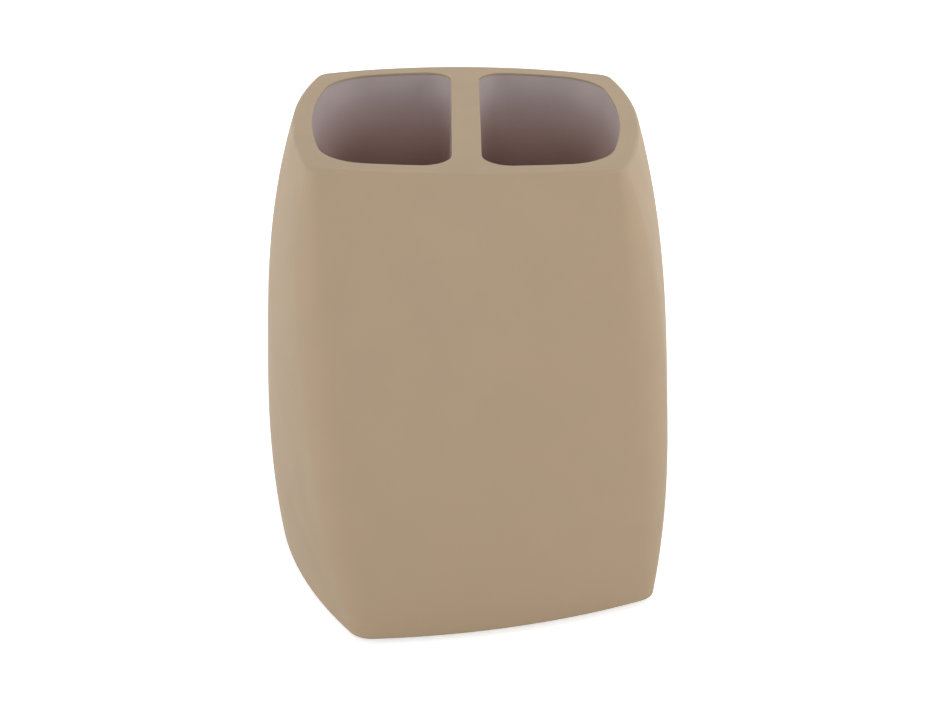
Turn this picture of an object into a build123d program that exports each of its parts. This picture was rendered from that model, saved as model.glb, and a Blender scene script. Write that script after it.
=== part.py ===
from build123d import *
import os
from math import atan2, degrees, sqrt

# Toothbrush holder: a twisted barrel shell with a shallow crowned deck and two openings, lined from
# inside by one moulding with two wells, closed by a snapped-in base plate on four soft feet.
# Millimetres. +Z is up, +X to the right, -Y towards the user. The origin is the middle of the plane
# that the feet stand on. The deck and its openings are square to X and Y; the base is turned.

# Body: the plan is a square with bowed sides and rounded corners
overall_height = 105.0
deck_width = 73.3
belly_width = 85.4
base_width = 75.8
deck_bow = 5.9
belly_bow = 7.8
base_bow = 5.3
deck_corner_radius = 3.5
belly_corner_radius = 11.8
base_corner_radius = 5.1
belly_fullness = 2.55
base_turn = 16.9
deck_crown = 0.8
deck_edge_radius = 0.6
rim_edge_radius = 0.5

# Shell
wall = 2.0
collar_wall = 1.6
deck_thickness = 3.0
lip_thickness = 0.4
lip_edge_radius = 0.15

# Openings in the deck
centre_bar_width = 6.1
side_rim = 4.05
front_rim = 4.8
opening_side_bow = 5.0
opening_front_bow = 4.7
opening_outer_corner = 12.4
opening_bar_corner = 6.0

# Liner
liner_wall = 1.2
liner_setback = 0.15
neck_clearance = 0.2
lip_gap = 0.1
flange_thickness = 1.5
flange_clearance = 0.4
well_floor_height = 13.0
well_draw_in = 2.2
floor_outer_corner = 14.0
floor_bar_corner = 7.5
floor_edge_radius = 5.0

# Base plate
rim_height = 1.0
plate_recess = 0.8
plate_thickness = 2.5
plate_clearance = 0.2
upstand_height = 1.8
upstand_wall = 1.4
bead_depth = 0.4
bead_height = 0.8
bead_gap = 0.2
bead_length = 22.0
rib_thickness = 1.6
rib_length_x = 11.0
rib_length_y = 30.0

# Feet: each centre is inset from the two sides beside it
foot_diameter = 12.0
foot_inset = 14.5
foot_recess = 1.0
foot_clearance = 0.15
foot_edge_radius = 0.4

# Construction: sections in each loft, overrun of through cuts, sharpest inner corner
section_count = 9
cut_margin = 1.0
least_inner_corner = 0.8

# Worked out from the sizes above
edge_height = overall_height - deck_crown
deck_underside = edge_height - deck_thickness
body_span = edge_height - rim_height
belly_height = rim_height + body_span / 2
crown_radius = ((deck_width / 2) ** 2 + deck_crown**2) / (2 * deck_crown)
opening_half_x = deck_width / 2 - side_rim
opening_half_y = deck_width / 2 - front_rim
neck_outset = liner_setback + liner_wall
well_middle = (centre_bar_width / 2 + opening_half_x) / 2
plate_bottom = rim_height + plate_recess
plate_top = plate_bottom + plate_thickness
foot_reach = base_width / 2 - foot_inset


def along_body(height, base_value, belly_value, deck_value):
    """A value that runs from the base over the belly to the deck, as full as the barrel is."""
    end_value = deck_value if height > belly_height else base_value
    share = abs((height - belly_height) / (body_span / 2)) ** belly_fullness
    return belly_value + (end_value - belly_value) * share


def turn_at(height):
    """The section's turn against the deck, which grows evenly down to the base."""
    return base_turn * (edge_height - height) / body_span


def bowed_square(half_width, bow, corner_radius, inset):
    """A square face with bowed sides and round corners, drawn in evenly by the inset."""
    side_radius = (half_width**2 + bow**2) / (2 * bow)
    side_centre = half_width - side_radius
    side_radius -= inset
    corner = max(corner_radius - inset, least_inner_corner)
    reach = side_radius - corner
    corner_centre = (side_centre + sqrt(2 * reach**2 - side_centre**2)) / 2
    half_sweep = degrees(atan2(corner_centre, corner_centre - side_centre))
    side = CenterArc((side_centre, 0), side_radius, -half_sweep, 2 * half_sweep)
    corner_arc = CenterArc((corner_centre, corner_centre), corner, half_sweep, 90 - 2 * half_sweep)
    edges = []
    for quarter in range(4):
        edges += [Rot(0, 0, 90 * quarter) * side, Rot(0, 0, 90 * quarter) * corner_arc]
    return make_face(edges)


def body_section(height, inset):
    """The barrel's section at a height, turned and drawn in by the inset."""
    half_width = along_body(height, base_width, belly_width, deck_width) / 2
    bow = along_body(height, base_bow, belly_bow, deck_bow)
    corner_radius = along_body(height, base_corner_radius, belly_corner_radius, deck_corner_radius)
    outline = bowed_square(half_width, bow, corner_radius, inset)
    return Pos(0, 0, height) * Rot(0, 0, turn_at(height)) * outline


def barrel(low, high, inset):
    """The twisted barrel between two heights, drawn in by the inset."""
    step = (high - low) / (section_count - 1)
    return loft([body_section(low + step * index, inset) for index in range(section_count)])


def base_prism(low, high, inset):
    """A straight prism of the lower rim's outline, drawn in by the inset."""
    outline = bowed_square(base_width / 2, base_bow, base_corner_radius, inset)
    return Pos(0, 0, low) * Rot(0, 0, base_turn) * extrude(outline, high - low)


def under_crown(depth):
    """A large ball whose surface lies the given depth below the crowned deck, poles to the sides."""
    return Pos(0, 0, overall_height - crown_radius) * Rot(90, 0, 0) * Sphere(crown_radius - depth)


def well_outline(inset, outer_corner, bar_corner):
    """The right opening's D-shaped outline, drawn in by the inset, with round corners."""
    side_radius = (opening_half_y**2 + opening_side_bow**2) / (2 * opening_side_bow)
    front_radius = (opening_half_x**2 + opening_front_bow**2) / (2 * opening_front_bow)
    outline = Pos(opening_half_x - side_radius, 0) * Rot(0, 0, 90) * Circle(side_radius - inset)
    for end in (-1, 1):
        outline &= Pos(0, end * (opening_half_y - front_radius)) * Circle(front_radius - inset)
    beside_bar = Rectangle(deck_width, 2 * deck_width, align=(Align.MIN, Align.CENTER))
    outline &= Pos(centre_bar_width / 2 + inset, 0) * beside_bar
    outline = fillet(outline.vertices().sort_by(Axis.X)[-2:], outer_corner)
    return fillet(outline.vertices().sort_by(Axis.X)[:2], bar_corner)


def opening_prism(low, high, outset):
    """A straight prism of the right opening, widened evenly by the outset."""
    outline = well_outline(-outset, opening_outer_corner + outset, opening_bar_corner + outset)
    return Pos(0, 0, low) * extrude(outline, high - low)


def both_sides(shape):
    """A shape at the right opening together with its copy at the left one."""
    return shape + Rot(0, 0, 180) * shape


def outer_shell():
    """The tan moulding: barrel wall, crowned deck, centre bar and the lips over the liner."""
    body = barrel(rim_height, overall_height + cut_margin, 0) & under_crown(0)
    body = fillet(body.faces().sort_by(Axis.Z)[-1].edges(), deck_edge_radius)
    body = fillet(body.faces().sort_by(Axis.Z)[0].edges(), rim_edge_radius)
    body -= barrel(plate_top, deck_underside, wall)
    body -= base_prism(rim_height - cut_margin, plate_top, collar_wall)
    body -= both_sides(opening_prism(deck_underside - cut_margin, overall_height + cut_margin, 0))
    rebate_outset = neck_outset + neck_clearance
    rebate = opening_prism(deck_underside - cut_margin, overall_height, rebate_outset)
    body -= both_sides(rebate & under_crown(lip_thickness))
    lip_edges = body.faces().sort_by(Axis.Z)[-1].inner_wires().edges()
    return fillet(lip_edges, lip_edge_radius)


def well(outset, floor_height, edge_radius):
    """The right well as a solid that narrows to a rounded floor."""
    top = well_outline(-outset, opening_outer_corner + outset, opening_bar_corner + outset)
    draw_in = well_draw_in - outset
    floor = well_outline(draw_in, floor_outer_corner + outset, floor_bar_corner + outset)
    tube = loft([Pos(0, 0, floor_height) * floor, Pos(0, 0, deck_underside) * top])
    tube = fillet(tube.faces().sort_by(Axis.Z)[0].edges(), edge_radius)
    return tube + opening_prism(deck_underside, overall_height + cut_margin, outset)


def twin_well_liner():
    """Both wells with their necks under the lips, hung on a flange below the deck."""
    outer_well = well(neck_outset, well_floor_height - liner_wall, floor_edge_radius + liner_wall)
    inner_well = well(liner_setback, well_floor_height, floor_edge_radius)
    necks = both_sides(outer_well & under_crown(lip_thickness + lip_gap))
    flange = extrude(body_section(deck_underside, wall + flange_clearance), -flange_thickness)
    return necks + flange - both_sides(inner_well)


def foot_places():
    """The four feet's names and their centres on the turned base."""
    for name, side, end in (
        ("front_left", -1, -1),
        ("front_right", 1, -1),
        ("back_right", 1, 1),
        ("back_left", -1, 1),
    ):
        place = Rot(0, 0, base_turn) * Pos(side * foot_reach, end * foot_reach)
        yield name, place


def base_plate():
    """The plate in the shell's collar, with its snap beads, liner ribs and foot recesses."""
    outline_inset = collar_wall + plate_clearance
    upstand_top = plate_top + upstand_height
    plate = base_prism(plate_bottom, upstand_top, outline_inset)
    plate -= base_prism(plate_top, upstand_top, outline_inset + upstand_wall)
    bead_low = plate_top + bead_gap
    bead = base_prism(bead_low, bead_low + bead_height, outline_inset - bead_depth)
    bead -= base_prism(bead_low, bead_low + bead_height, outline_inset + upstand_wall / 2)
    strip = Box(2 * base_width, bead_length, overall_height)
    plate += bead & Rot(0, 0, base_turn) * (strip + Rot(0, 0, 90) * strip)
    rib_height = well_floor_height - liner_wall - plate_top
    on_plate = (Align.CENTER, Align.CENTER, Align.MIN)
    ribs = Box(rib_length_x, rib_thickness, rib_height, align=on_plate)
    ribs += Box(rib_thickness, rib_length_y, rib_height, align=on_plate)
    plate += both_sides(Pos(well_middle, 0, plate_top) * ribs)
    for _, place in foot_places():
        recess = Cylinder(foot_diameter / 2 + foot_clearance, foot_recess, align=on_plate)
        plate -= Pos(0, 0, plate_bottom) * place * recess
    return plate


def non_slip_foot(place):
    """One soft disc, seated against the roof of its recess."""
    height = plate_bottom + foot_recess
    disc = Cylinder(foot_diameter / 2, height, align=(Align.CENTER, Align.CENTER, Align.MIN))
    disc = fillet(disc.faces().sort_by(Axis.Z)[0].edges(), foot_edge_radius)
    return place * disc


os.makedirs("parts", exist_ok=True)
export_step(outer_shell(), "parts/outer_shell.step")
export_step(twin_well_liner(), "parts/twin_well_liner.step")
export_step(base_plate(), "parts/base_plate.step")
for foot_name, foot_place in foot_places():
    export_step(non_slip_foot(foot_place), f"parts/non_slip_foot_{foot_name}.step")
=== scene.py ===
"""The looks of a toothbrush holder: a tan twisted barrel with a mauve-grey lining.

Metres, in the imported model's frame: +Z up, -Y towards the user, the origin in the middle of the
plane that the feet stand on. The deck's openings are square to X and Y and the base is turned.
"""

import logging
from collections.abc import Sequence
from dataclasses import dataclass
from enum import Enum
from math import atan2, cos, pi, radians, sin, sqrt

import bmesh
import bpy
from mathutils import Matrix, Vector


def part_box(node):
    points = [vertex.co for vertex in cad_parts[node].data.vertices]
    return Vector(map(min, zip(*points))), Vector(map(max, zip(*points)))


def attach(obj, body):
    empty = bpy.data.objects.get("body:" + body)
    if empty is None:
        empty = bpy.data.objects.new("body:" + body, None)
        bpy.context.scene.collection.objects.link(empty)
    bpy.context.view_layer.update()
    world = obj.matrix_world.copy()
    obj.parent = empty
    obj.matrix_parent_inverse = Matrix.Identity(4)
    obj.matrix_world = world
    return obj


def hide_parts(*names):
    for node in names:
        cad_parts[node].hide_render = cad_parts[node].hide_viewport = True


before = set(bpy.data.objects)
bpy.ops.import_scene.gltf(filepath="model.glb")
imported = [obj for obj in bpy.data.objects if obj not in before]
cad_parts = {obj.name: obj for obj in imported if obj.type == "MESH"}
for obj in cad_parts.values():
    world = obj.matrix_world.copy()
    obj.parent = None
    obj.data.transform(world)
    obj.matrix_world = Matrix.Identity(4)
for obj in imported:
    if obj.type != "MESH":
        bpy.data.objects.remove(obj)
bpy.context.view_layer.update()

MM = 0.001
# Points nearer to each other than this are one point.
SAME_PLACE = 0.001 * MM
WHITE = "#ffffff"
LOG = logging.getLogger("toothbrush_holder")
Loop = list[Vector]
Ring = list[bmesh.types.BMEdge]


# ---------------------------------------------------------------- flat outlines


@dataclass(frozen=True)
class Arc:
    """A stretch of a flat outline that lies on a circle.

    Args:
        centre: The circle's centre.
        radius: The circle's radius.
        start: The angle at which the stretch begins.
        end: The angle at which the stretch ends.
        steps: How many equal edges the stretch is drawn with.
    """

    centre: Vector
    radius: float
    start: float
    end: float
    steps: int

    def trace(self) -> Loop:
        """Draws the stretch.

        Returns:
            The stretch's points, without its last one.
        """
        turn = (self.end - self.start) / self.steps
        angles = [self.start + turn * step for step in range(self.steps)]
        return [self.centre + Vector((cos(angle), sin(angle))) * self.radius for angle in angles]


@dataclass(frozen=True)
class Line:
    """A straight stretch of a flat outline.

    Args:
        start: The point at which the stretch begins.
        end: The point at which the stretch ends.
        steps: How many equal edges the stretch is drawn with.
    """

    start: Vector
    end: Vector
    steps: int

    def trace(self) -> Loop:
        """Returns the stretch's points, without its last one."""
        return [self.start.lerp(self.end, step / self.steps) for step in range(self.steps)]


@dataclass(frozen=True)
class BowedSquare:
    """A square plan with bowed sides and round corners.

    Args:
        half_width: From the middle of the plan to the middle of a side.
        bow: How far a side swells over its own length.
        corner_radius: The radius at each corner.
        side_steps: How many equal edges a side is drawn with.
        corner_steps: How many equal edges a corner is drawn with.
        least_corner: The radius that a corner keeps however far the plan is drawn in.
    """

    half_width: float
    bow: float
    corner_radius: float
    side_steps: int = 30
    corner_steps: int = 12
    least_corner: float = 0.8 * MM

    def trace(self, inset: float) -> Loop:
        """Draws the plan, drawn in evenly.

        Args:
            inset: How far every side is drawn in.

        Returns:
            The plan's points, anticlockwise from the corner before +X.
        """
        side_radius = (self.half_width**2 + self.bow**2) / (2 * self.bow)
        side_centre = self.half_width - side_radius
        side_radius -= inset
        corner = max(self.corner_radius - inset, self.least_corner)
        corner_centre = (side_centre + sqrt(2 * (side_radius - corner) ** 2 - side_centre**2)) / 2
        half_sweep = atan2(corner_centre, corner_centre - side_centre)
        side = Arc(Vector((side_centre, 0)), side_radius, -half_sweep, half_sweep, self.side_steps)
        round_centre = Vector((corner_centre, corner_centre))
        corner_arc = Arc(round_centre, corner, half_sweep, pi / 2 - half_sweep, self.corner_steps)
        quarter = side.trace() + corner_arc.trace()
        turns = [Matrix.Rotation(pi / 2 * index, 2) for index in range(4)]
        return [turn @ point for turn in turns for point in quarter]


@dataclass(frozen=True)
class WellPlan:
    """The D-shaped plan of the right opening and of the well below it.

    Args:
        bar_half: From the middle of the deck to the opening's straight side.
        half_x: From the middle of the deck to the middle of the opening's outer side.
        half_y: From the middle of the deck to the middle of the opening's front side.
        side_bow: How far the outer side swells.
        front_bow: How far the front and back sides swell.
        side_steps: How many equal edges half of the outer side is drawn with.
        outer_corner_steps: How many equal edges a corner away from the bar is drawn with.
        front_steps: How many equal edges the front or the back side is drawn with.
        bar_corner_steps: How many equal edges a corner beside the bar is drawn with.
        bar_steps: How many equal edges half of the straight side is drawn with.
    """

    bar_half: float
    half_x: float
    half_y: float
    side_bow: float
    front_bow: float
    side_steps: int = 8
    outer_corner_steps: int = 14
    front_steps: int = 8
    bar_corner_steps: int = 10
    bar_steps: int = 8

    def trace(self, inset: float, outer_corner: float, bar_corner: float) -> Loop:
        """Draws the plan, drawn in evenly.

        Args:
            inset: How far every side is drawn in; a negative inset widens the plan.
            outer_corner: The radius of the two corners away from the bar.
            bar_corner: The radius of the two corners beside the bar.

        Returns:
            The plan's points, anticlockwise from the middle of the outer side.
        """
        side_radius = (self.half_y**2 + self.side_bow**2) / (2 * self.side_bow)
        back_radius = (self.half_x**2 + self.front_bow**2) / (2 * self.front_bow)
        side_centre = Vector((self.half_x - side_radius, 0))
        back_centre = Vector((0, self.half_y - back_radius))
        side_radius -= inset
        back_radius -= inset
        outer = meeting_point(
            side_centre, side_radius - outer_corner, back_centre, back_radius - outer_corner
        )
        bar_x = self.bar_half + inset
        beside_bar = bar_x + bar_corner
        reach = sqrt((back_radius - bar_corner) ** 2 - beside_bar**2)
        bar = Vector((beside_bar, back_centre.y + reach))
        side_end = atan2(outer.y, outer.x - side_centre.x)
        back_start = atan2(outer.y - back_centre.y, outer.x)
        back_end = atan2(bar.y - back_centre.y, bar.x)
        bar_middle = Vector((bar_x, 0))
        upper = (
            Arc(side_centre, side_radius, 0, side_end, self.side_steps).trace()
            + Arc(outer, outer_corner, side_end, back_start, self.outer_corner_steps).trace()
            + Arc(back_centre, back_radius, back_start, back_end, self.front_steps).trace()
            + Arc(bar, bar_corner, back_end, pi, self.bar_corner_steps).trace()
            + Line(Vector((bar_x, bar.y)), bar_middle, self.bar_steps).trace()
            + [bar_middle]
        )
        lower = [Vector((point.x, -point.y)) for point in reversed(upper[1:-1])]
        return upper + lower


def meeting_point(
    first: Vector, first_reach: float, second: Vector, second_reach: float
) -> Vector:
    """Finds where two circles meet away from the origin.

    Args:
        first: The first circle's centre.
        first_reach: The first circle's radius.
        second: The second circle's centre.
        second_reach: The second circle's radius.

    Returns:
        The meeting point with the larger coordinates.
    """
    between = second - first
    span = between.length
    along = (first_reach**2 - second_reach**2 + span**2) / (2 * span)
    aside = sqrt(first_reach**2 - along**2)
    foot = first + between * (along / span)
    across = Vector((-between.y, between.x)) * (aside / span)
    return max((foot + across, foot - across), key=lambda point: point.x + point.y)


# ---------------------------------------------------------------- the holder's form


@dataclass(frozen=True)
class Barrel:
    """The twisted barrel that every part of the holder takes its place from.

    Args:
        rim_height: The height of the shell's lower rim.
        top_height: The height of the deck's middle.
        crown: How far the deck's middle stands above the middle of its edges.
        base: The plan at the lower rim.
        belly: The plan halfway up.
        deck: The plan at the deck's edge.
        fullness: The power by which the belly passes into either end; more keeps it full longer.
        base_turn: How far the base is turned against the deck.
    """

    rim_height: float = 1.0 * MM
    top_height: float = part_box("outer_shell")[1].z
    crown: float = 0.8 * MM
    base: BowedSquare = BowedSquare(37.9 * MM, 5.3 * MM, 5.1 * MM)
    belly: BowedSquare = BowedSquare(42.7 * MM, 7.8 * MM, 11.8 * MM)
    deck: BowedSquare = BowedSquare(36.65 * MM, 5.9 * MM, 3.5 * MM)
    fullness: float = 2.55
    base_turn: float = radians(16.9)

    @property
    def edge_height(self) -> float:
        """The height of the deck's edge at the middle of each side."""
        return self.top_height - self.crown

    def plan(self, height: float) -> BowedSquare:
        """Works out the barrel's plan at a height.

        Args:
            height: The height above the plane that the feet stand on.

        Returns:
            The plan, square to X and Y.
        """
        half_span = (self.edge_height - self.rim_height) / 2
        offset = (height - self.rim_height - half_span) / half_span
        end = self.deck if offset > 0 else self.base
        share = abs(offset) ** self.fullness
        half_width = self.belly.half_width + (end.half_width - self.belly.half_width) * share
        bow = self.belly.bow + (end.bow - self.belly.bow) * share
        corner = self.belly.corner_radius + (end.corner_radius - self.belly.corner_radius) * share
        return BowedSquare(half_width, bow, corner)

    def turn(self, height: float) -> float:
        """Returns how far the plan at a height is turned against the deck."""
        return self.base_turn * (self.edge_height - height) / (self.edge_height - self.rim_height)

    def loop(self, height: float, inset: float = 0.0, crowned: bool = False) -> Loop:
        """Draws the barrel's loop at a height.

        Args:
            height: The loop's height at the middle of each side.
            inset: How far the loop is drawn in.
            crowned: Whether the loop follows the deck's crown.

        Returns:
            The loop's points, anticlockwise.
        """
        turn = Matrix.Rotation(self.turn(height), 2)
        flat = [turn @ point for point in self.plan(height).trace(inset)]
        return self.lifted(flat, height) if crowned else level(flat, height)

    def base_loop(self, height: float, inset: float) -> Loop:
        """Draws the lower rim's plan, drawn in, at any height.

        Args:
            height: The loop's height.
            inset: How far the loop is drawn in.

        Returns:
            The loop's points, anticlockwise.
        """
        turn = Matrix.Rotation(self.base_turn, 2)
        return level([turn @ point for point in self.base.trace(inset)], height)

    def lifted(self, flat: Loop, height: float) -> Loop:
        """Lays flat points on the deck's crown, or as far below it as the height says.

        Args:
            flat: The points' places seen from above.
            height: Their height where the crown meets the middle of the deck's edge.

        Returns:
            The points in space.
        """
        radius = (self.deck.half_width**2 + self.crown**2) / (2 * self.crown)
        below = height - self.edge_height
        middle = self.top_height - radius
        return [
            Vector((point.x, point.y, middle + sqrt(radius**2 - point.length_squared) + below))
            for point in flat
        ]


def level(flat: Loop, height: float) -> Loop:
    """Returns flat points at one height."""
    return [Vector((point.x, point.y, height)) for point in flat]


def shares(steps: int) -> list[float]:
    """Returns evenly spaced shares from just above 0 up to 1."""
    return [step / steps for step in range(1, steps + 1)]


class Side(Enum):
    """The holder's two wells, by the turn that brings the right one there."""

    RIGHT = 0.0
    LEFT = pi

    def place(self, loop: Loop) -> Loop:
        """Returns a loop of the right well, brought to this side."""
        turn = Matrix.Rotation(self.value, 3, "Z")
        return [turn @ point for point in loop]


class RingMesh:
    """A mesh that grows ring by ring: each new ring is extruded from the last one's edges."""

    def __init__(self) -> None:
        """Starts an empty mesh that remembers each vertex's place along its ring."""
        self.mesh = bmesh.new()
        self.station = self.mesh.verts.layers.int.new("station")

    def start(self, loop: Loop) -> Ring:
        """Lays down a first ring.

        Args:
            loop: The ring's points in order.

        Returns:
            The ring's edges.
        """
        made = bmesh.ops.create_circle(self.mesh, cap_ends=False, segments=len(loop), radius=MM)
        for station, vertex in enumerate(made["verts"]):
            vertex[self.station] = station
            vertex.co = loop[station]
        edges = (edge for vertex in made["verts"] for edge in vertex.link_edges)
        return list(dict.fromkeys(edges))

    def extend(self, ring: Ring, loops: Sequence[Loop]) -> Ring:
        """Extrudes a ring through further loops.

        Args:
            ring: The edges to start from.
            loops: The loops to pass through, in order.

        Returns:
            The last ring's edges.
        """
        for loop in loops:
            made = bmesh.ops.extrude_edge_only(self.mesh, edges=ring)["geom"]
            vertices = {item for item in made if isinstance(item, bmesh.types.BMVert)}
            for vertex in vertices:
                vertex.co = loop[vertex[self.station]]
            edges = [item for item in made if isinstance(item, bmesh.types.BMEdge)]
            ring = [edge for edge in edges if vertices.issuperset(edge.verts)]
        return ring

    def fill(self, *rings: Ring) -> None:
        """Closes the flat space between rings, or inside a single one."""
        edges = [edge for ring in rings for edge in ring]
        bmesh.ops.triangle_fill(self.mesh, use_beauty=True, use_dissolve=False, edges=edges)

    def bridge(self, first: Ring, second: Ring) -> None:
        """Joins two rings that have as many edges as each other."""
        bmesh.ops.bridge_loops(self.mesh, edges=first + second)

    def finish(self, name: str, sharp_angle: float = radians(40)) -> bpy.types.Object:
        """Turns the mesh into an object with its faces outwards and its true edges sharp.

        Args:
            name: The object's name.
            sharp_angle: The bend above which an edge stays sharp.

        Returns:
            The object, linked to the scene.
        """
        bmesh.ops.remove_doubles(self.mesh, verts=self.mesh.verts, dist=SAME_PLACE)
        bmesh.ops.recalc_face_normals(self.mesh, faces=self.mesh.faces)
        for face in self.mesh.faces:
            face.smooth = True
        open_edges = sum(1 for edge in self.mesh.edges if not edge.is_manifold)
        data = bpy.data.meshes.new(name)
        self.mesh.to_mesh(data)
        self.mesh.free()
        data.set_sharp_from_angle(angle=sharp_angle)
        piece = bpy.data.objects.new(name, data)
        bpy.context.scene.collection.objects.link(piece)
        LOG.info("%s: %d open edges", name, open_edges)
        return piece


def rounded(radius: float, steps: int) -> list[tuple[float, float]]:
    """Lists a quarter round from a wall onto the flat beside it.

    Args:
        radius: The edge's radius.
        steps: How many equal edges the quarter is drawn with.

    Returns:
        Pairs of the depth below the flat and the distance from the wall, from the wall on.
    """
    angles = [pi / 2 * step / steps for step in range(steps + 1)]
    return [(radius * (1 - sin(angle)), radius * (1 - cos(angle))) for angle in angles]


@dataclass(frozen=True)
class Deck:
    """The openings in the deck and how their lips meet the liner.

    Args:
        barrel: The barrel that the deck closes.
        opening: The right opening's plan.
        outer_corner: The radius of the opening's corners away from the bar.
        bar_corner: The radius of the opening's corners beside the bar.
        thickness: From the middle of the deck's edges down to its flat lower face.
        lip_thickness: The thickness of the lip over the liner.
        lip_radius: The radius of the lip's upper edge.
        lip_steps: How many equal edges the lip's round is drawn with.
        liner_setback: How far the liner's wall stands back behind the lip.
        liner_wall: The thickness of the liner's wall.
        neck_clearance: The gap between the liner's neck and the deck around it.
        border_bow: How far the loop beside the lip is bowed towards the middle of the bar.
    """

    barrel: Barrel
    opening: WellPlan = WellPlan(3.05 * MM, 32.6 * MM, 31.85 * MM, 5.0 * MM, 4.7 * MM)
    outer_corner: float = 12.4 * MM
    bar_corner: float = 6.0 * MM
    thickness: float = 3.0 * MM
    lip_thickness: float = 0.4 * MM
    lip_radius: float = 0.15 * MM
    lip_steps: int = 4
    liner_setback: float = 0.15 * MM
    liner_wall: float = 1.2 * MM
    neck_clearance: float = 0.2 * MM
    border_bow: float = 0.3 * MM

    @property
    def underside(self) -> float:
        """The height of the deck's flat lower face."""
        return self.barrel.edge_height - self.thickness

    def outline(self, outset: float) -> Loop:
        """Returns the right opening's flat outline, widened by the outset."""
        return self.opening.trace(-outset, self.outer_corner + outset, self.bar_corner + outset)

    def lip_loop(self, depth: float, outset: float) -> Loop:
        """Draws the right opening's loop along the crowned deck.

        Args:
            depth: How far the loop lies below the deck.
            outset: How far the loop is widened.

        Returns:
            The loop's points.
        """
        return self.barrel.lifted(self.outline(outset), self.barrel.edge_height - depth)

    def border_loop(self, outset: float) -> Loop:
        """Draws the loop between the lip and the deck's face, bowed where it runs along the bar.

        Args:
            outset: How far the loop is widened.

        Returns:
            The loop's points, no three of them in line, so that the face fills without slivers.
        """
        flat = self.outline(outset)
        bar_side = min(point.x for point in flat)
        beside_bar = [point for point in flat if point.x - bar_side < SAME_PLACE]
        reach = max(point.y for point in beside_bar)
        for point in beside_bar:
            point.x -= self.border_bow * (1 - (point.y / reach) ** 2)
        return self.barrel.lifted(flat, self.barrel.edge_height)


# ---------------------------------------------------------------- colours and finishes

# A mix node's colour sockets share their names with its plain ones, so they go by number.
MIX_SHARE, MIX_FIRST, MIX_SECOND = 0, 6, 7
MIX_RESULT = 2


def linear(colour: str) -> tuple[float, float, float, float]:
    """Turns an sRGB colour into the linear one that shaders take.

    Args:
        colour: Six hexadecimal digits after a hash sign.

    Returns:
        Linear red, green and blue, and an alpha of 1.
    """
    parts = [int(colour[index : index + 2], 16) / 255 for index in (1, 3, 5)]
    red, green, blue = [
        part / 12.92 if part <= 0.04045 else ((part + 0.055) / 1.055) ** 2.4 for part in parts
    ]
    return red, green, blue, 1.0


def add_node(
    tree: bpy.types.NodeTree,
    kind: str,
    settings: dict[str, object] | None = None,
    inputs: dict[str | int, object] | None = None,
) -> bpy.types.Node:
    """Adds a node with its settings and its inputs.

    Args:
        tree: The tree that the node goes into.
        kind: The node's type name.
        settings: The node's own properties.
        inputs: For each input, a socket to link from or a plain value.

    Returns:
        The new node.
    """
    made = tree.nodes.new(kind)
    for name, value in (settings or {}).items():
        setattr(made, name, value)
    for name, value in (inputs or {}).items():
        if isinstance(value, bpy.types.NodeSocket):
            tree.links.new(value, made.inputs[name])
        else:
            made.inputs[name].default_value = value
    return made


def new_material(name: str) -> tuple[bpy.types.Material, bpy.types.NodeTree]:
    """Makes an empty material.

    Args:
        name: The material's name.

    Returns:
        The material and its node tree.
    """
    material = bpy.data.materials.new(name)
    material.use_nodes = True
    material.node_tree.nodes.clear()
    return material, material.node_tree


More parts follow.
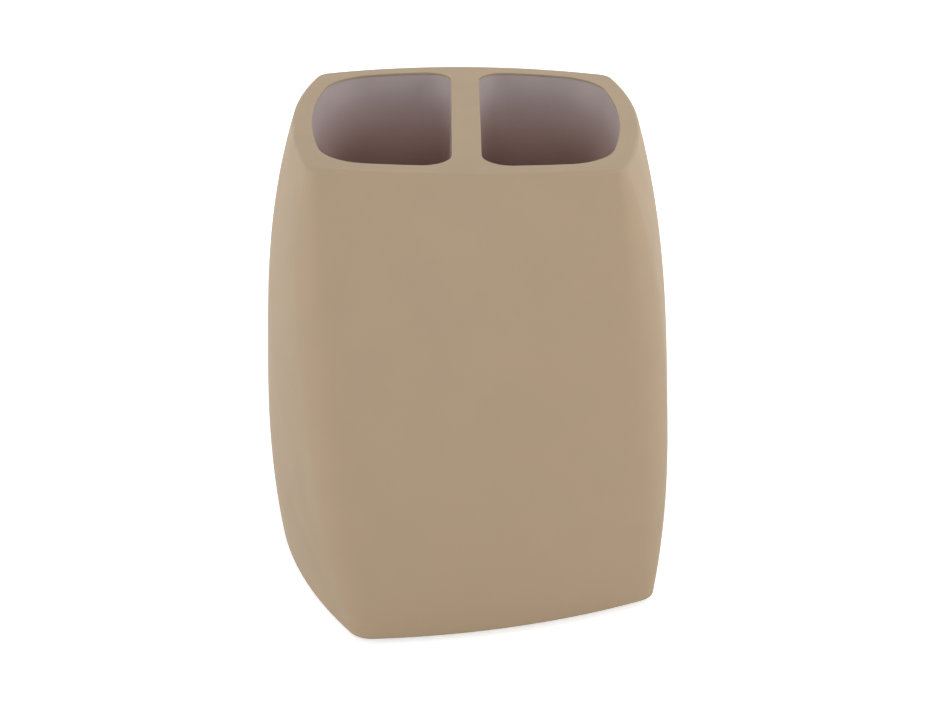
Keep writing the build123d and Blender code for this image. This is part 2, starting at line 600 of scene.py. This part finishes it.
@dataclass(frozen=True)
class MouldedPlastic:
    """Injection-moulded plastic: an even colour with slow clouds in it and a fine eroded grain.

    Args:
        name: The material's name.
        colour: The plastic's sRGB colour.
        cloud_colour: The sRGB colour that the slow clouds lean to.
        roughness: The surface's mean roughness.
        roughness_spread: How far the roughness strays from its mean.
        cloud_size: The clouds' size.
        cloud_detail: How many finer layers the clouds have.
        cloud_fineness: How strong each finer layer of the clouds is against the one before.
        colour_band: The part of the clouds' noise over which the colour changes.
        gloss_band: The part of the clouds' noise over which the roughness changes.
        grain_size: The grain's size.
        grain_height: The grain's height.
        grain_detail: How many finer layers the grain has.
        grain_fineness: How strong each finer layer of the grain is against the one before.
        ior: The plastic's index of refraction.
        painted_shade_colour: The sRGB colour of painted shade low down, darker and browner, for
            light bounced between a well's walls; none where the colour stays the same.
        painted_shade_from: The height at which the painted shade begins.
        painted_shade_to: The height at which the painted shade is full.
    """

    name: str
    colour: str
    cloud_colour: str
    roughness: float
    roughness_spread: float = 0.02
    cloud_size: float = 26 * MM
    cloud_detail: float = 3.0
    cloud_fineness: float = 0.45
    colour_band: tuple[float, float] = (0.35, 0.65)
    gloss_band: tuple[float, float] = (0.3, 0.7)
    # A mould's eroded grain is about 0.1 mm, finer than a pixel of the render, so it is drawn as
    # coarse as it needs to show.
    grain_size: float = 0.35 * MM
    grain_height: float = 0.004 * MM
    grain_detail: float = 2.0
    grain_fineness: float = 0.5
    ior: float = 1.5
    # Painted shade: a darker, browner colour low down, for light bounced between a well's walls.
    painted_shade_colour: str = ""
    painted_shade_from: float = 0.0
    painted_shade_to: float = 0.0

    def build(self) -> bpy.types.Material:
        """Builds the material from its nodes.

        Returns:
            The material, ready to put on a piece.
        """
        material, tree = new_material(self.name)
        place = add_node(tree, "ShaderNodeTexCoord").outputs["Object"]
        clouds = add_node(
            tree,
            "ShaderNodeTexNoise",
            inputs={
                "Vector": place,
                "Scale": 1 / self.cloud_size,
                "Detail": self.cloud_detail,
                "Roughness": self.cloud_fineness,
            },
        )
        cloud_share = add_node(
            tree,
            "ShaderNodeMapRange",
            {"interpolation_type": "SMOOTHSTEP"},
            {
                "Value": clouds.outputs["Fac"],
                "From Min": self.colour_band[0],
                "From Max": self.colour_band[1],
            },
        )
        colour = add_node(
            tree,
            "ShaderNodeMix",
            {"data_type": "RGBA"},
            {
                MIX_SHARE: cloud_share.outputs["Result"],
                MIX_FIRST: linear(self.colour),
                MIX_SECOND: linear(self.cloud_colour),
            },
        )
        grain = add_node(
            tree,
            "ShaderNodeTexNoise",
            inputs={
                "Vector": place,
                "Scale": 1 / self.grain_size,
                "Detail": self.grain_detail,
                "Roughness": self.grain_fineness,
            },
        )
        bump = add_node(
            tree,
            "ShaderNodeBump",
            inputs={
                "Height": grain.outputs["Fac"],
                "Strength": 1.0,
                "Distance": self.grain_height,
            },
        )
        gloss = add_node(
            tree,
            "ShaderNodeMapRange",
            inputs={
                "Value": clouds.outputs["Fac"],
                "From Min": self.gloss_band[0],
                "From Max": self.gloss_band[1],
                "To Min": self.roughness - self.roughness_spread,
                "To Max": self.roughness + self.roughness_spread,
            },
        )
        surface = add_node(
            tree,
            "ShaderNodeBsdfPrincipled",
            inputs={
                "Base Color": self.with_painted_shade(tree, place, colour.outputs[MIX_RESULT]),
                "Roughness": gloss.outputs["Result"],
                "Normal": bump.outputs["Normal"],
                "IOR": self.ior,
            },
        )
        add_node(tree, "ShaderNodeOutputMaterial", inputs={"Surface": surface.outputs["BSDF"]})
        return material

    def with_painted_shade(
        self, tree: bpy.types.NodeTree, place: bpy.types.NodeSocket, colour: bpy.types.NodeSocket
    ) -> bpy.types.NodeSocket:
        """Paints shade into a colour: it passes into a darker, browner one on the way down.

        Args:
            tree: The tree that the nodes go into.
            place: The place on the piece.
            colour: The colour near the top.

        Returns:
            The colour's socket, unchanged where the plastic has no painted shade.
        """
        if not self.painted_shade_colour:
            return colour
        # Painted shade: lower on the piece the colour turns darker and browner, standing in for the
        # light bounced between the walls of a well.
        height = add_node(tree, "ShaderNodeSeparateXYZ", inputs={0: place}).outputs["Z"]
        depth = add_node(
            tree,
            "ShaderNodeMapRange",
            {"interpolation_type": "SMOOTHSTEP"},
            {"Value": height, "From Min": self.painted_shade_from, "From Max": self.painted_shade_to},
        )
        mixed = add_node(
            tree,
            "ShaderNodeMix",
            {"data_type": "RGBA"},
            {
                MIX_SHARE: depth.outputs["Result"],
                MIX_FIRST: colour,
                MIX_SECOND: linear(self.painted_shade_colour),
            },
        )
        return mixed.outputs[MIX_RESULT]


# ---------------------------------------------------------------- the pieces


@dataclass(frozen=True)
class OuterShell:
    """The tan moulding: barrel wall, crowned deck with its centre bar, and lips over the liner.

    Args:
        barrel: The form that the wall follows.
        deck: The openings and their lips.
        finish: The shell's plastic.
        wall: The wall's thickness.
        collar_wall: The wall's thickness in the collar for the base plate.
        collar_top: The height at which the collar begins.
        deck_edge_radius: The radius of the deck's outer edge.
        rim_radius: The radius of the lower rim's outer edge.
        support: How far beside a round the next loop lies, so that the round's shading stays in it.
        body_rings: How many loops the wall's outside is drawn with.
        cavity_rings: How many loops the wall's inside is drawn with.
        edge_steps: How many equal edges an outer round is drawn with.
    """

    barrel: Barrel
    deck: Deck
    finish: MouldedPlastic
    wall: float = 2.0 * MM
    collar_wall: float = 1.6 * MM
    collar_top: float = 4.3 * MM
    deck_edge_radius: float = 0.6 * MM
    rim_radius: float = 0.5 * MM
    support: float = 0.4 * MM
    body_rings: int = 52
    cavity_rings: int = 14
    edge_steps: int = 6

    def build(self) -> bpy.types.Object:
        """Builds the shell as one closed moulding and dresses it.

        Returns:
            The shell.
        """
        mesh = RingMesh()
        rim, deck_edge = self.grow_skin(mesh)
        rebates = self.grow_lips(mesh, deck_edge)
        collar = self.grow_cavity(mesh, rebates)
        mesh.bridge(rim, collar)
        piece = mesh.finish("shell_moulding")
        piece.data.materials.append(self.finish.build())
        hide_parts("outer_shell")
        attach(piece, "root")
        return piece

    def grow_skin(self, mesh: RingMesh) -> tuple[Ring, Ring]:
        """Grows the outer skin from the lower rim over the belly onto the deck.

        Args:
            mesh: The mesh to grow.

        Returns:
            The first ring, under the rim, and the last one, on the deck.
        """
        barrel = self.barrel
        low = barrel.rim_height
        high = barrel.edge_height
        rim = rounded(self.rim_radius, self.edge_steps)
        under = [(low + depth, inset) for depth, inset in reversed(rim)]
        first = mesh.start(barrel.loop(under[0][0], under[0][1]))
        loops = [barrel.loop(height, inset) for height, inset in under[1:]]
        wall_low = low + self.rim_radius + self.support
        wall_high = high - self.deck_edge_radius - self.support
        loops.append(barrel.loop(wall_low))
        for share in shares(self.body_rings):
            height = wall_low + (wall_high - wall_low) * share
            # The loops lie level up to half of the height, and then take on the deck's crown.
            lift = max(0.0, share * 2 - 1) ** 2
            level_loop = barrel.loop(height)
            crowned_loop = barrel.loop(height, crowned=True)
            loops.append([flat.lerp(top, lift) for flat, top in zip(level_loop, crowned_loop)])
        for depth, inset in rounded(self.deck_edge_radius, self.edge_steps):
            loops.append(barrel.loop(high - depth, inset, crowned=True))
        loops.append(barrel.loop(high, self.deck_edge_radius + self.support, crowned=True))
        last = mesh.extend(first, loops)
        return first, last

    def grow_lips(self, mesh: RingMesh, deck_edge: Ring) -> list[Ring]:
        """Grows the deck's face and the lips and rebates of both openings.

        Args:
            mesh: The mesh to grow.
            deck_edge: The last ring of the skin.

        Returns:
            The lower edge of each rebate.
        """
        deck = self.deck
        rebate = deck.liner_setback + deck.liner_wall + deck.neck_clearance
        beside_lip = deck.border_loop(deck.lip_radius + self.support)
        lip_edge = reversed(rounded(deck.lip_radius, deck.lip_steps))
        lip = [deck.lip_loop(depth, run) for depth, run in lip_edge]
        lip.append(deck.lip_loop(deck.lip_thickness, 0.0))
        lip.append(deck.lip_loop(deck.lip_thickness, rebate))
        lip.append(level(deck.outline(rebate), deck.underside))
        starts = [mesh.start(side.place(beside_lip)) for side in Side]
        mesh.fill(deck_edge, *starts)
        return [
            mesh.extend(start, [side.place(loop) for loop in lip])
            for side, start in zip(Side, starts)
        ]

    def grow_cavity(self, mesh: RingMesh, rebates: list[Ring]) -> Ring:
        """Grows the inside of the shell from the deck down to the collar for the base plate.

        Args:
            mesh: The mesh to grow.
            rebates: The lower edges of the rebates.

        Returns:
            The collar's lower ring.
        """
        barrel = self.barrel
        roof = self.deck.underside
        start = mesh.start(barrel.loop(roof, self.wall))
        mesh.fill(start, *rebates)
        drop = roof - self.collar_top
        heights = [roof - drop * share for share in shares(self.cavity_rings)]
        loops = [barrel.loop(height, self.wall) for height in heights]
        loops.append(barrel.base_loop(self.collar_top, self.collar_wall))
        loops.append(barrel.base_loop(barrel.rim_height, self.collar_wall))
        return mesh.extend(start, loops)


@dataclass(frozen=True)
class TwinWellLiner:
    """The mauve-grey moulding that lines the holder: two wells hung on a flange below the deck.

    Args:
        barrel: The form that the flange follows.
        deck: The openings that the wells hang under.
        finish: The liner's plastic.
        shell_wall: The thickness of the shell's wall around the flange.
        flange_clearance: The gap between the flange and the shell's wall.
        flange_thickness: The flange's thickness.
        lip_gap: The gap between the top of a well and the lip above it.
        floor_height: The height of the wells' floors.
        draw_in: How far a well is drawn in on its way down to the floor.
        floor_outer_corner: The radius of a well's corners away from the bar, at the floor.
        floor_bar_corner: The radius of a well's corners beside the bar, at the floor.
        floor_radius: The radius between a well's wall and its floor.
        wall_rings: How many loops a well's wall is drawn with.
        floor_steps: How many equal edges the round onto the floor is drawn with.
    """

    barrel: Barrel
    deck: Deck
    finish: MouldedPlastic
    shell_wall: float = 2.0 * MM
    flange_clearance: float = 0.4 * MM
    flange_thickness: float = 1.5 * MM
    lip_gap: float = 0.1 * MM
    floor_height: float = 13.0 * MM
    draw_in: float = 2.2 * MM
    floor_outer_corner: float = 14.0 * MM
    floor_bar_corner: float = 7.5 * MM
    floor_radius: float = 5.0 * MM
    wall_rings: int = 16
    floor_steps: int = 8

    def well_loop(self, height: float, outset: float, inset: float = 0.0) -> Loop:
        """Draws the right well's loop at a height below the deck.

        Args:
            height: The loop's height.
            outset: How far the wall's face stands outside the opening.
            inset: How far the loop is drawn in further.

        Returns:
            The loop's points.
        """
        deck = self.deck
        floor = self.floor_height - (outset - deck.liner_setback)
        share = min(1.0, max(0.0, (deck.underside - height) / (deck.underside - floor)))
        outer = deck.outer_corner + (self.floor_outer_corner - deck.outer_corner) * share
        bar = deck.bar_corner + (self.floor_bar_corner - deck.bar_corner) * share
        drawn = self.draw_in * share - outset + inset
        flat = deck.opening.trace(drawn, outer + outset - inset, bar + outset - inset)
        return level(flat, height)

    def tube(self, top: float, outset: float, radius: float) -> list[Loop]:
        """Lists the loops of a well's wall from a height down to the rim of its floor.

        Args:
            top: The height of the first loop.
            outset: How far the wall's face stands outside the opening.
            radius: The radius between the wall and the floor.

        Returns:
            The loops from the top down.
        """
        floor = self.floor_height - (outset - self.deck.liner_setback)
        drop = top - floor - radius
        loops = [self.well_loop(top, outset)]
        loops += [self.well_loop(top - drop * share, outset) for share in shares(self.wall_rings)]
        for rise, inset in rounded(radius, self.floor_steps)[1:]:
            loops.append(self.well_loop(floor + rise, outset, inset))
        return loops

    def build(self) -> bpy.types.Object:
        """Builds the liner as one closed moulding and dresses it.

        Returns:
            The liner.
        """
        deck = self.deck
        mesh = RingMesh()
        inner = deck.liner_setback
        outer = inner + deck.liner_wall
        neck_depth = deck.lip_thickness + self.lip_gap
        necks = []
        tubes = []
        flange_foot = deck.underside - self.flange_thickness
        for side in Side:
            neck_top = mesh.start(side.place(deck.lip_loop(neck_depth, inner)))
            inside = self.tube(deck.underside, inner, self.floor_radius)
            floor = mesh.extend(neck_top, [side.place(loop) for loop in inside])
            mesh.fill(floor)
            neck = [deck.lip_loop(neck_depth, outer), level(deck.outline(outer), deck.underside)]
            necks.append(mesh.extend(neck_top, [side.place(loop) for loop in neck]))
            outside = self.tube(flange_foot, outer, self.floor_radius + deck.liner_wall)
            tube = mesh.start(side.place(outside[0]))
            mesh.fill(mesh.extend(tube, [side.place(loop) for loop in outside[1:]]))
            tubes.append(tube)
        plan = self.barrel.loop(deck.underside, self.shell_wall + self.flange_clearance)
        flange = mesh.start(plan)
        mesh.fill(flange, *necks)
        lower = mesh.extend(flange, [level([point.xy for point in plan], flange_foot)])
        mesh.fill(lower, *tubes)
        piece = mesh.finish("liner_moulding")
        piece.data.materials.append(self.finish.build())
        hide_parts("twin_well_liner")
        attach(piece, "root")
        return piece


@dataclass(frozen=True)
class Underside:
    """The base plate and the feet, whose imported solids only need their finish.

    Args:
        plate_finish: The base plate's plastic.
        foot_finish: The feet's rubber.
    """

    plate_finish: MouldedPlastic
    foot_finish: MouldedPlastic

    def dress(self) -> list[bpy.types.Object]:
        """Gives the base plate and each foot its material.

        Returns:
            The dressed pieces.
        """
        foot = self.foot_finish.build()
        plate = self.plate_finish.build()
        dressed = []
        for name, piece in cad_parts.items():
            if name == "base_plate" or name.startswith("non_slip_foot"):
                piece.data.materials.clear()
                piece.data.materials.append(plate if name == "base_plate" else foot)
                dressed.append(piece)
        return dressed


# ---------------------------------------------------------------- studio and camera


@dataclass(frozen=True)
class PhotoCamera:
    """The photograph's camera, placed by the picture point of the barrel's middle.

    Args:
        target: The point of the object that the picture point shows.
        target_pixel: Where the target lies in the picture.
        picture: The picture's width and height in pixels.
        focal_pixels: The focal length in pixels.
        distance: How far in front of the camera the target lies.
        yaw: How far the camera looks to the right of +Y.
        pitch: How far the camera looks down.
        roll: How far the camera's right side is raised.
        sensor: The sensor's width in millimetres.
        clip_start: The nearest distance that the camera shows.
    """

    target: Vector
    target_pixel: tuple[float, float] = (463.97, 341.13)
    picture: tuple[int, int] = (940, 705)
    focal_pixels: float = 2831.1
    distance: float = 622.4 * MM
    yaw: float = radians(0.75)
    pitch: float = radians(22.93)
    roll: float = radians(0.5)
    sensor: float = 36.0
    clip_start: float = 10 * MM

    def make(self) -> None:
        """Makes the camera and hands it to the scene."""
        forward = Vector(
            (sin(self.yaw) * cos(self.pitch), cos(self.yaw) * cos(self.pitch), -sin(self.pitch))
        )
        level_right = Vector((cos(self.yaw), -sin(self.yaw), 0))
        level_up = level_right.cross(forward)
        right = level_right * cos(self.roll) + level_up * sin(self.roll)
        up = level_up * cos(self.roll) - level_right * sin(self.roll)
        scale = self.distance / self.focal_pixels
        across = (self.target_pixel[0] - self.picture[0] / 2) * scale
        above = (self.picture[1] / 2 - self.target_pixel[1]) * scale
        place = self.target - right * across - up * above - forward * self.distance
        data = bpy.data.cameras.new("photo_camera")
        data.sensor_width = self.sensor
        data.lens = self.focal_pixels / self.picture[0] * self.sensor
        data.clip_start = self.clip_start
        camera = bpy.data.objects.new("photo_camera", data)
        axes = Matrix((right, up, -forward)).transposed().to_4x4()
        camera.matrix_world = Matrix.Translation(place) @ axes
        bpy.context.scene.collection.objects.link(camera)
        bpy.context.scene.camera = camera


@dataclass(frozen=True)
class SoftLamp:
    """A soft square lamp that looks at the object.

    Args:
        name: The lamp's name.
        bearing: Where it stands seen from above: 0 is the camera's side, 90 degrees the right.
        elevation: How high it stands, as an angle from the object's middle.
        level: How bright white paper that faces the object's middle gets from this lamp alone.
        reach: Its distance from the object's middle.
        size: The length of its sides.
    """

    name: str
    bearing: float
    elevation: float
    level: float
    reach: float = 1.5
    size: float = 0.7

    def make(self, target: Vector) -> None:
        """Makes the lamp.

        Args:
            target: The point that the lamp looks at.
        """
        data = bpy.data.lights.new(self.name, "AREA")
        data.shape = "SQUARE"
        data.size = self.size
        # Paper that faces a lamp gets its watts / (pi * reach ** 2), and shows 1 / pi of that.
        data.energy = self.level * (pi * self.reach) ** 2
        away = Vector(
            (
                sin(self.bearing) * cos(self.elevation),
                -cos(self.bearing) * cos(self.elevation),
                sin(self.elevation),
            )
        )
        lamp = bpy.data.objects.new(self.name, data)
        lamp.location = target + away * self.reach
        lamp.rotation_euler = (-away).to_track_quat("-Z", "Y").to_euler()
        bpy.context.scene.collection.objects.link(lamp)


@dataclass(frozen=True)
class Studio:
    """A white table under a ring of soft lamps in a white room.

    The table's and the room's glow shows only where they are seen. It lights nothing.

    Args:
        target: The point that the lamps look at.
        floor_size: The length of the table's sides.
        floor_colour: The table's sRGB colour.
        near_glow: The strength of the table's glow around the object, where its shadow lies.
        far_glow: The strength of the table's glow far away, where few lamps reach it.
        near_reach: How far from the object the table's glow begins to rise.
        far_reach: How far from the object the table's glow is full.
        room_seen_glow: The strength of the room's glow, where 1 is white.
        lamps: The lamps.
    """

    target: Vector
    floor_size: float = 6.0
    floor_colour: str = "#e7e7e7"
    near_glow: float = 0.65
    far_glow: float = 1.0
    near_reach: float = 0.25
    far_reach: float = 0.8
    room_seen_glow: float = 1.0
    lamps: tuple[SoftLamp, ...] = (
        SoftLamp("low_front_lamp", 0.0, radians(8), 0.34),
        SoftLamp("front_lamp", 0.0, radians(28), 0.09),
        SoftLamp("low_left_lamp", radians(-75), radians(8), 0.25),
        SoftLamp("left_lamp", radians(-75), radians(28), 0.17),
        SoftLamp("high_left_lamp", radians(-110), radians(50), 0.23),
        SoftLamp("low_right_lamp", radians(75), radians(8), 0.2),
        SoftLamp("right_lamp", radians(75), radians(28), 0.23),
        SoftLamp("high_right_lamp", radians(110), radians(50), 0.3),
        SoftLamp("back_left_lamp", radians(-150), radians(28), 0.1),
        SoftLamp("back_right_lamp", radians(150), radians(28), 0.12),
        SoftLamp("top_lamp", 0.0, radians(90), 0.03),
    )

    def make(self) -> None:
        """Makes the floor, the room and the lamps."""
        self.make_floor()
        self.make_room()
        for lamp in self.lamps:
            lamp.make(self.target)

    def make_floor(self) -> None:
        """Makes the white table, which the camera sees as white and which keeps shadows."""
        mesh = bmesh.new()
        bmesh.ops.create_grid(mesh, x_segments=1, y_segments=1, size=self.floor_size / 2)
        data = bpy.data.meshes.new("table")
        mesh.to_mesh(data)
        mesh.free()
        floor = bpy.data.objects.new("table", data)
        bpy.context.scene.collection.objects.link(floor)
        # White laminate: matt and even, so that only the object's shadow shows on it.
        material, tree = new_material("white_laminate")
        matt = add_node(
            tree, "ShaderNodeBsdfDiffuse", inputs={"Color": linear(self.floor_colour)}
        )
        place = add_node(tree, "ShaderNodeTexCoord").outputs["Object"]
        away = add_node(tree, "ShaderNodeVectorMath", {"operation": "LENGTH"}, {0: place})
        whiter = add_node(
            tree,
            "ShaderNodeMapRange",
            {"interpolation_type": "SMOOTHSTEP"},
            {
                "Value": away.outputs["Value"],
                "From Min": self.near_reach,
                "From Max": self.far_reach,
                "To Min": self.near_glow,
                "To Max": self.far_glow,
            },
        )
        glow = add_node(
            tree,
            "ShaderNodeEmission",
            inputs={
                "Color": linear(WHITE),
                "Strength": seen_glow(tree, whiter.outputs["Result"]),
            },
        )
        seen = add_node(
            tree,
            "ShaderNodeAddShader",
            inputs={0: matt.outputs["BSDF"], 1: glow.outputs["Emission"]},
        )
        add_node(tree, "ShaderNodeOutputMaterial", inputs={"Surface": seen.outputs["Shader"]})
        data.materials.append(material)

    def make_room(self) -> None:
        """Makes the room, which is white where it is seen and gives the object no light."""
        world = bpy.data.worlds.new("white_room")
        world.use_nodes = True
        tree = world.node_tree
        tree.nodes.clear()
        glow = add_node(
            tree,
            "ShaderNodeBackground",
            inputs={"Color": linear(WHITE), "Strength": seen_glow(tree, self.room_seen_glow)},
        )
        add_node(tree, "ShaderNodeOutputWorld", inputs={"Surface": glow.outputs["Background"]})
        bpy.context.scene.world = world


def seen_glow(
    tree: bpy.types.NodeTree, strength: float | bpy.types.NodeSocket
) -> bpy.types.NodeSocket:
    """Gives a strength to the rays that show the background, and none to those that light things.

    Args:
        tree: The tree that the nodes go into.
        strength: The strength for camera, glossy and transmission rays.

    Returns:
        The strength's socket.
    """
    rays = add_node(tree, "ShaderNodeLightPath")
    total = rays.outputs["Is Camera Ray"]
    for kind in ("Is Glossy Ray", "Is Transmission Ray"):
        total = add_node(
            tree, "ShaderNodeMath", {"operation": "MAXIMUM"}, {0: total, 1: rays.outputs[kind]}
        ).outputs[0]
    scaled = add_node(tree, "ShaderNodeMath", {"operation": "MULTIPLY"}, {0: total, 1: strength})
    return scaled.outputs[0]


# ---------------------------------------------------------------- the whole scene


def main() -> None:
    """Builds the holder, the studio and the camera, and reports each piece."""
    logging.basicConfig(level=logging.INFO, format="%(name)s: %(message)s")
    # Satin-lacquered ABS: an even warm tan with a soft broad highlight.
    tan = MouldedPlastic(
        "satin_lacquered_abs_tan", "#ae987c", "#ad977c", roughness=0.64, cloud_size=9 * MM
    )
    # Natural moulded ABS: mauve-grey and left as it comes from the mould, so a little glossier than
    # the shell.
    # Down in the wells it is painted with shade, browner and darker, for light bounced between the
    # walls.
    mauve = MouldedPlastic(
        "moulded_abs_mauve",
        "#bcb1b0",
        "#bbafae",
        roughness=0.45,
        painted_shade_colour="#bc9f97",
        painted_shade_from=103 * MM,
        painted_shade_to=84 * MM,
    )
    # Moulded ABS with an eroded grain: a darker tan, bare of lacquer and as dull as the shell.
    base = MouldedPlastic("eroded_abs_tan", "#9b8868", "#948264", roughness=0.62)
    # Thermoplastic rubber: nearly black and very dull.
    rubber = MouldedPlastic("thermoplastic_rubber", "#3d3935", "#37332f", roughness=0.8)
    barrel = Barrel()
    deck = Deck(barrel)
    pieces = [OuterShell(barrel, deck, tan).build(), TwinWellLiner(barrel, deck, mauve).build()]
    pieces += Underside(base, rubber).dress()
    for piece in pieces:
        finish = piece.data.materials[0].name
        LOG.info("%s: %d faces in %s", piece.name, len(piece.data.polygons), finish)
    middle = Vector((0, 0, (barrel.rim_height + barrel.edge_height) / 2))
    PhotoCamera(middle).make()
    Studio(middle).make()
    bpy.context.scene.view_settings.view_transform = "Standard"


if __name__ == "__main__":
    main()
